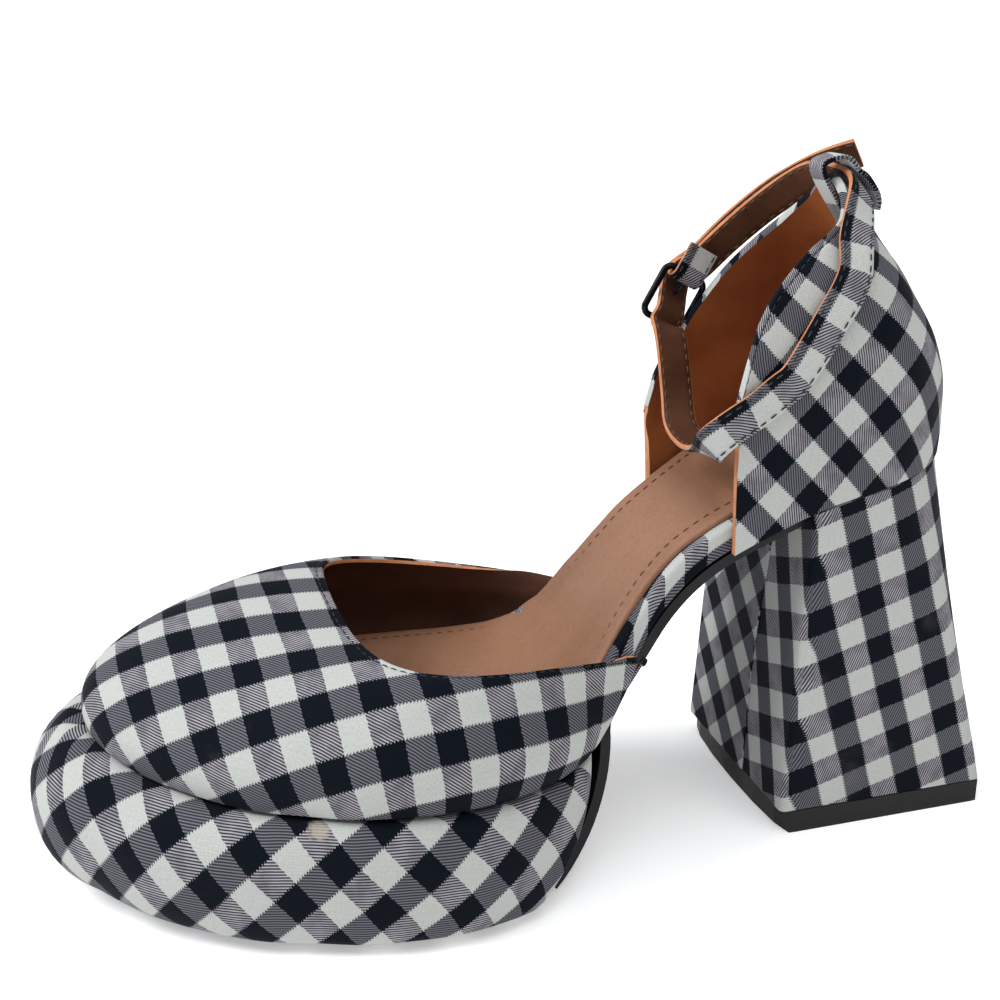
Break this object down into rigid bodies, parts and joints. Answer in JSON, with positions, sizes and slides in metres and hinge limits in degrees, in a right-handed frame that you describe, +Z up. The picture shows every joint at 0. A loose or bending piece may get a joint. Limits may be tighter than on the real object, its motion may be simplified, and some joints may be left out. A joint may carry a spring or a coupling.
{
  "type": "platform shoe",
  "caption": "Closed-toe platform shoe with an open waist, a high counter, a flared block heel and a buckled ankle strap, in black and white check cloth.",
  "frame": {"origin": "on the floor, at the middle of the heel's top lift", "axes": "+Z up, +X towards the toe, +Y towards the outer side of the left foot"},
  "size_m": [0.246, 0.1047, 0.1729],
  "materials": {
    "cloth": "woven cotton gingham with 7 mm checks",
    "leather": "tan leather, semi-matte",
    "rubber": "matte",
    "metal": "black, glossy"
  },
  "bodies": {
    "root": {"outsole": "rubber", "platform": "cloth", "insole_board": "cloth", "sock_lining": "leather", "vamp": "cloth", "counter": "cloth", "heel_block": "cloth", "top_lift": "rubber", "ankle_strap": "cloth", "back_loop": "cloth", "buckle_frame": "metal", "buckle_prong": "metal"}
  },
  "joints": []
}
